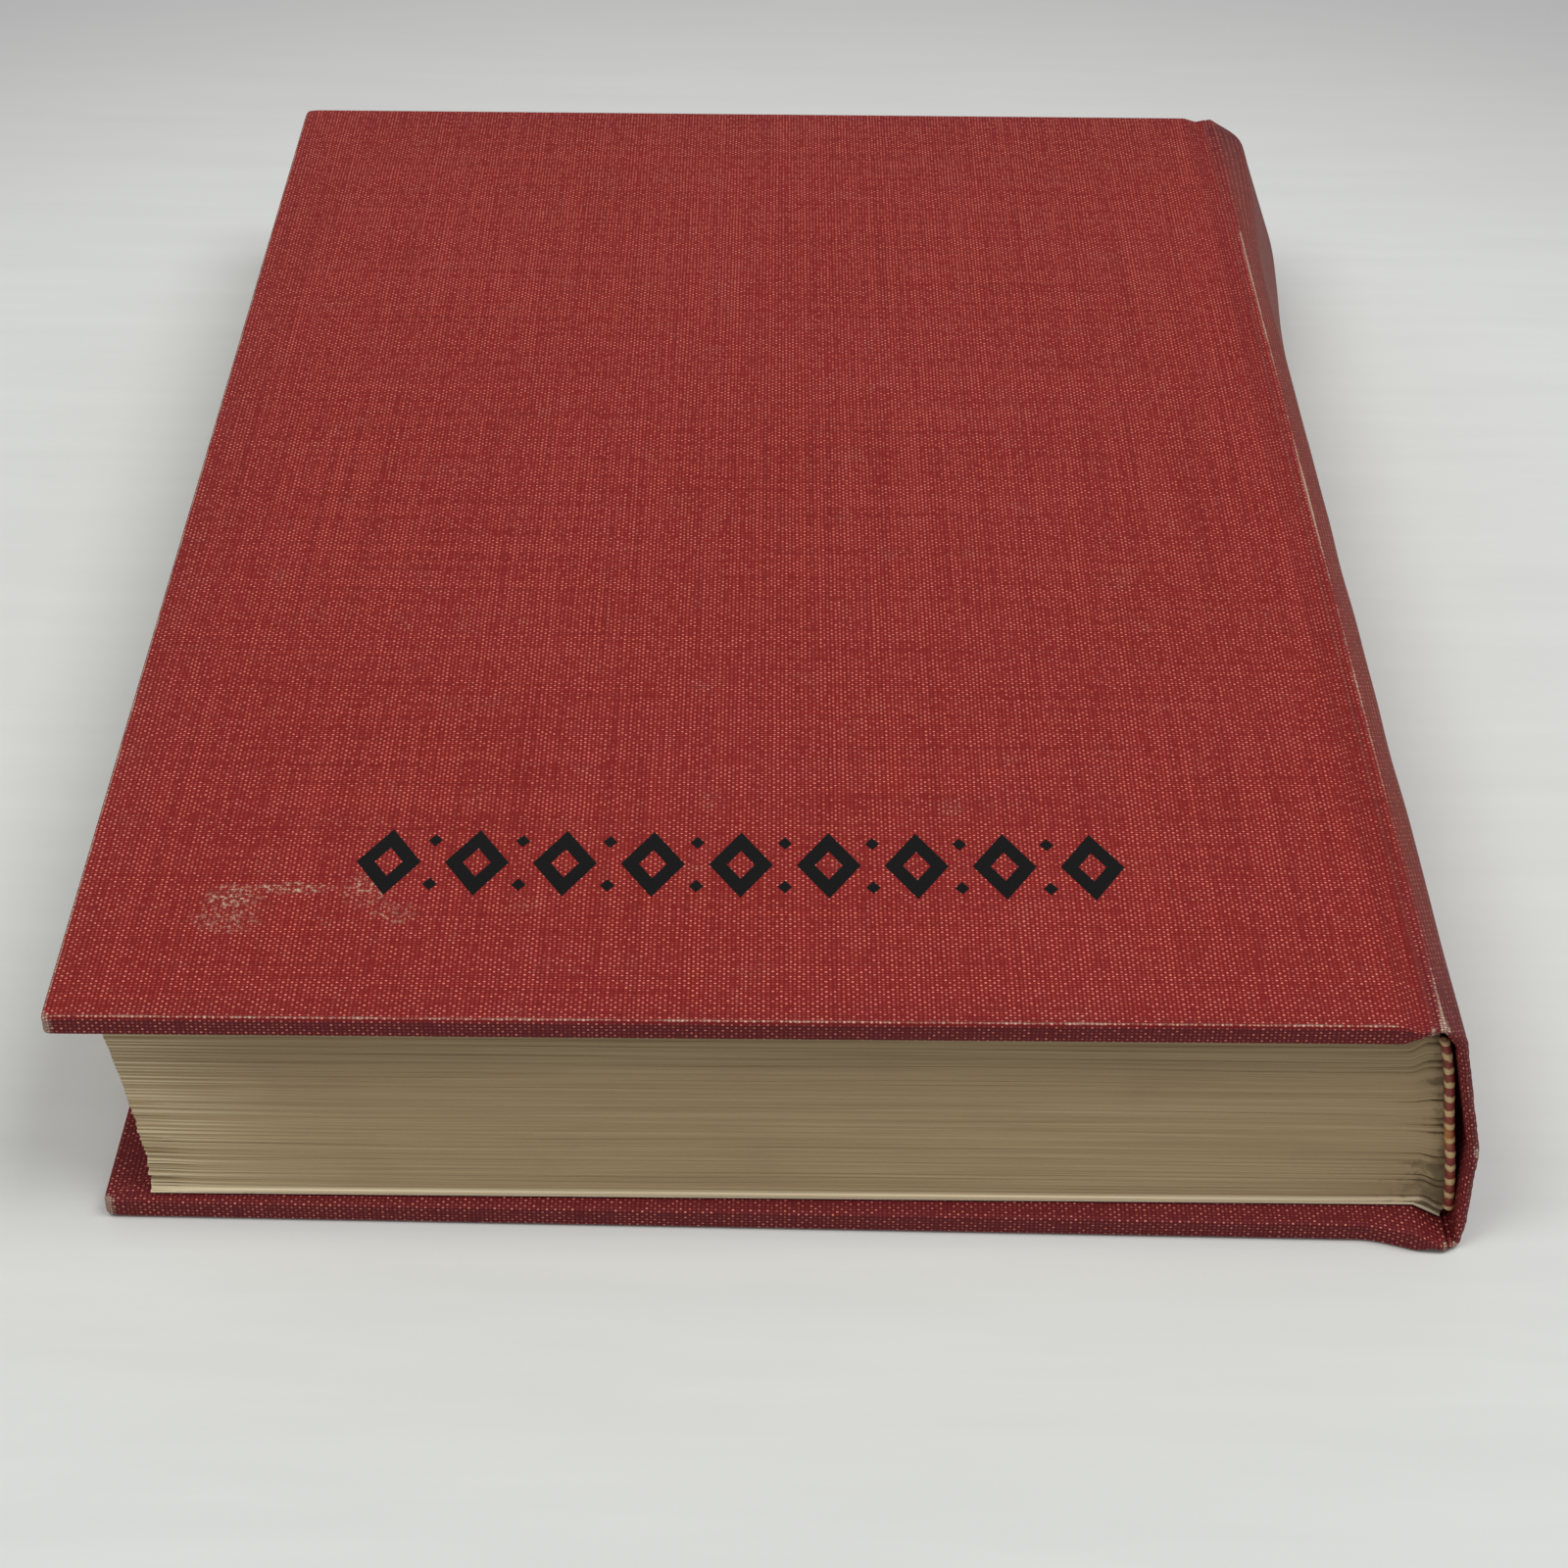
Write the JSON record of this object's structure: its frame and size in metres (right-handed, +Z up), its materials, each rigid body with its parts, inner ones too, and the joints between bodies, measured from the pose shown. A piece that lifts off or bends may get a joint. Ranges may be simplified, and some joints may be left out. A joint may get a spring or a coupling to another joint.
{
  "type": "hardcover book",
  "caption": "Worn hardcover book in red cloth over boards, with a sewn text block, headbands, hinged covers and a row of stamped lozenges.",
  "frame": {"origin": "middle of the back cover's outer face, on the surface that the book lies on", "axes": "+Z up out of the front cover, +Y from the head to the tail of the book, +X from the fore edge to the spine"},
  "size_m": [0.1658, 0.2397, 0.0289],
  "materials": {
    "greyboard": "rough",
    "book_cloth": "woven",
    "mull": "open weave",
    "endpaper": "matte",
    "page_paper": "matte",
    "thread": "twisted",
    "lining_paper": "matte",
    "headband": "striped",
    "inlay_card": "matte",
    "black_foil": "glossy stamped foil"
  },
  "bodies": {
    "back_cover": {"back_board": "greyboard", "back_cover_cloth": "book_cloth", "back_mull_flange": "mull", "back_pastedown": "endpaper"},
    "text_block": {"pages": "page_paper", "front_flyleaf": "endpaper", "back_flyleaf": "endpaper", "sewing_threads": "thread", "mull": "mull", "spine_lining": "lining_paper", "headband_head": "headband", "headband_tail": "headband", "spine_inlay": "inlay_card", "spine_cloth": "book_cloth"},
    "front_cover": {"front_board": "greyboard", "front_cover_cloth": "book_cloth", "front_mull_flange": "mull", "front_pastedown": "endpaper", "title_stamp": "black_foil"}
  },
  "joints": [
    {"name": "front_cover_hinge", "type": "hinge", "parent": "text_block", "child": "front_cover", "pos_m": [0.07184, 0.00469, 0.02914], "axis": [-0.0165, 0.9999, 0], "range_deg": [0, 180]},
    {"name": "back_cover_hinge", "type": "hinge", "parent": "back_cover", "child": "text_block", "pos_m": [0.078, 0, -0.0002], "axis": [0, -1, 0], "range_deg": [-90, 0]}
  ]
}
